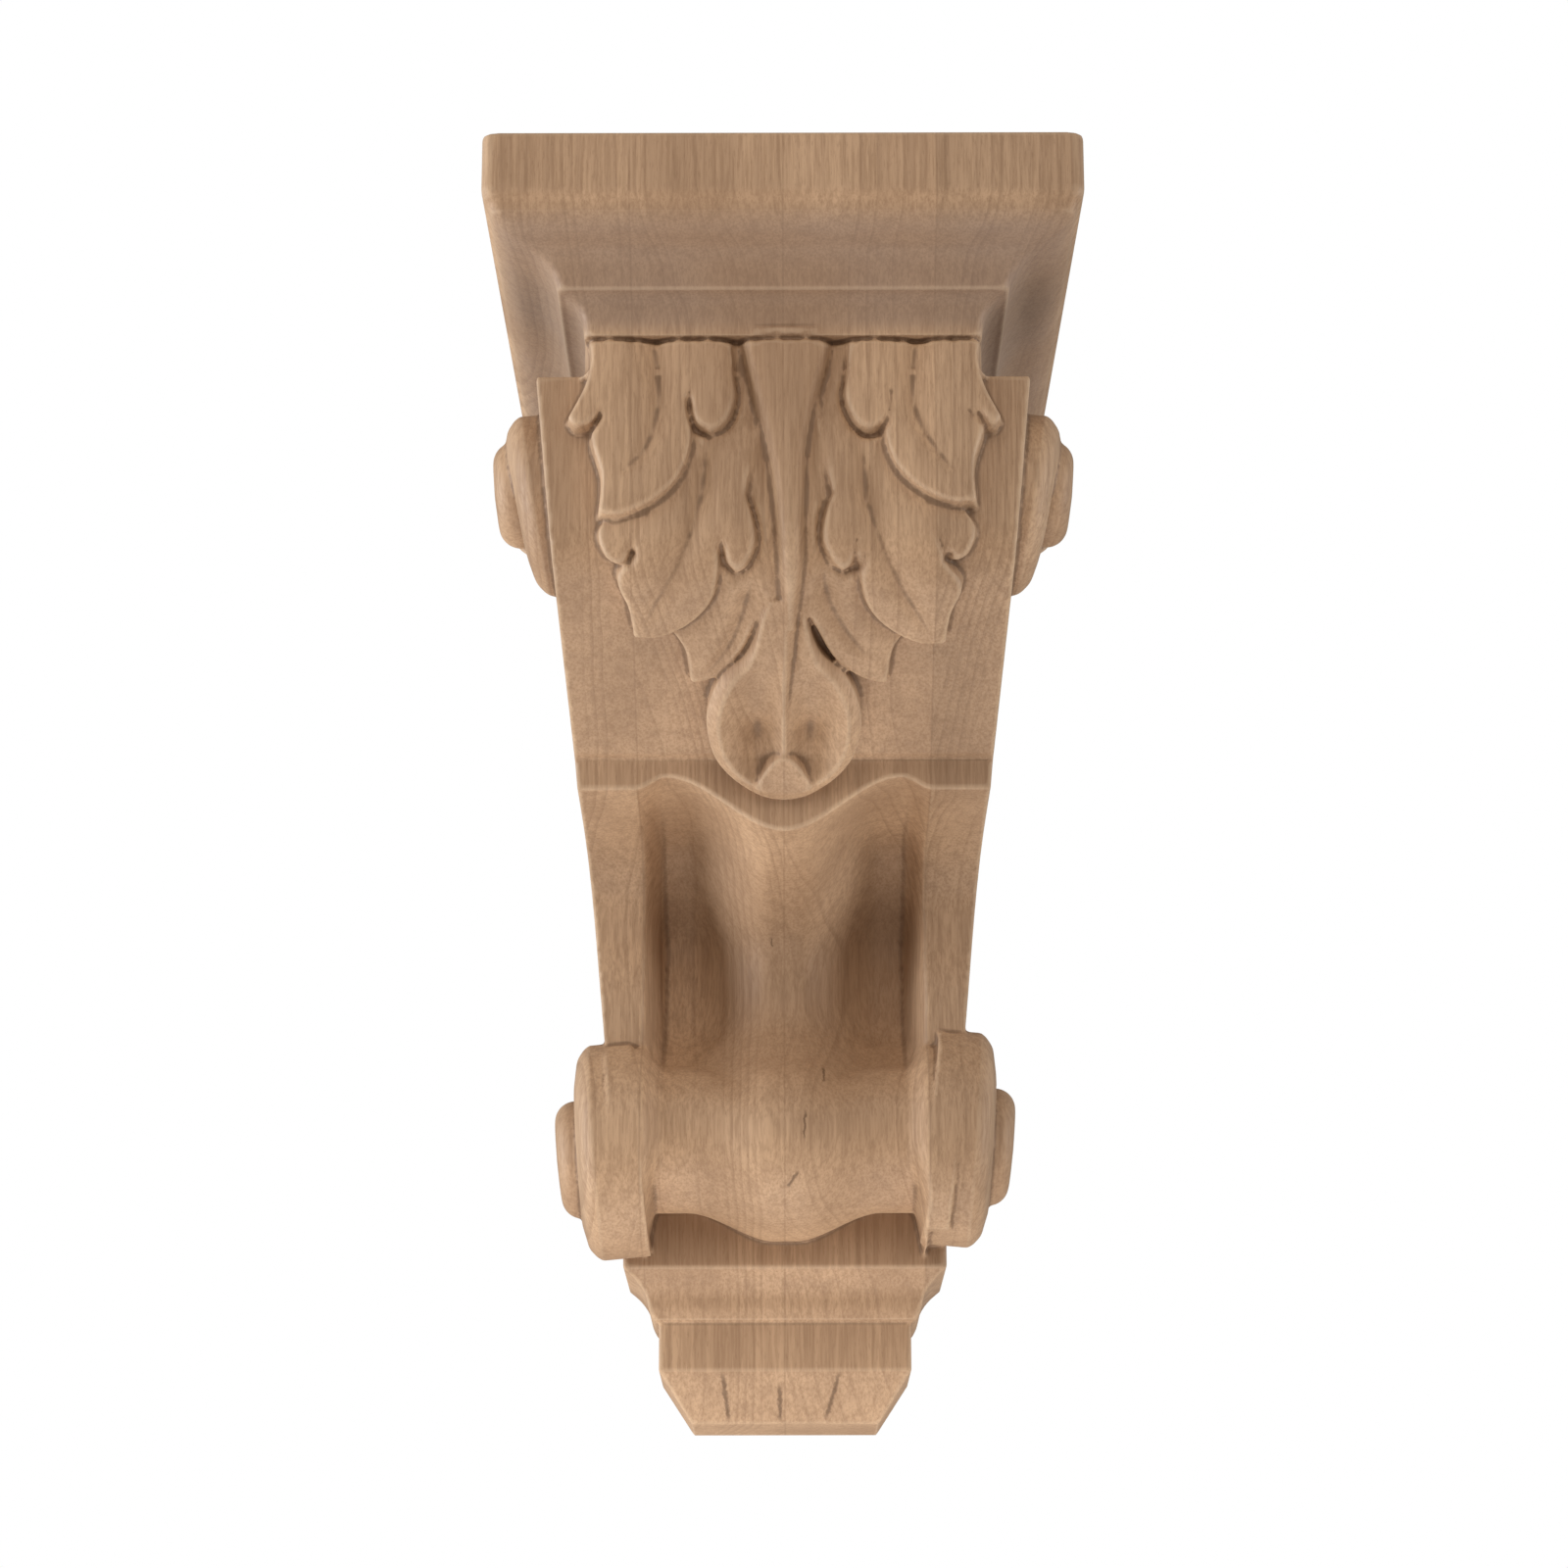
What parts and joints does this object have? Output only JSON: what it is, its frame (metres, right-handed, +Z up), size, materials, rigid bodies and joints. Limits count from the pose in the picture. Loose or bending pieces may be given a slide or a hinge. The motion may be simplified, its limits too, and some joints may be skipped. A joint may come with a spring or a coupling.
{
  "type": "corbel bracket",
  "caption": "Carved wooden corbel with a moulded top, an acanthus leaf front, side scrolls and a small moulded foot, for under a shelf or mantel.",
  "frame": {"origin": "middle of the flat back face that goes against the wall", "axes": "+Z up, +X to the right of someone who looks at the front, +Y into the wall"},
  "size_m": [0.127, 0.178, 0.254],
  "materials": {
    "wood": "sanded bare wood, unfinished"
  },
  "bodies": {
    "root": {"corbel_bracket": "wood"}
  },
  "joints": []
}
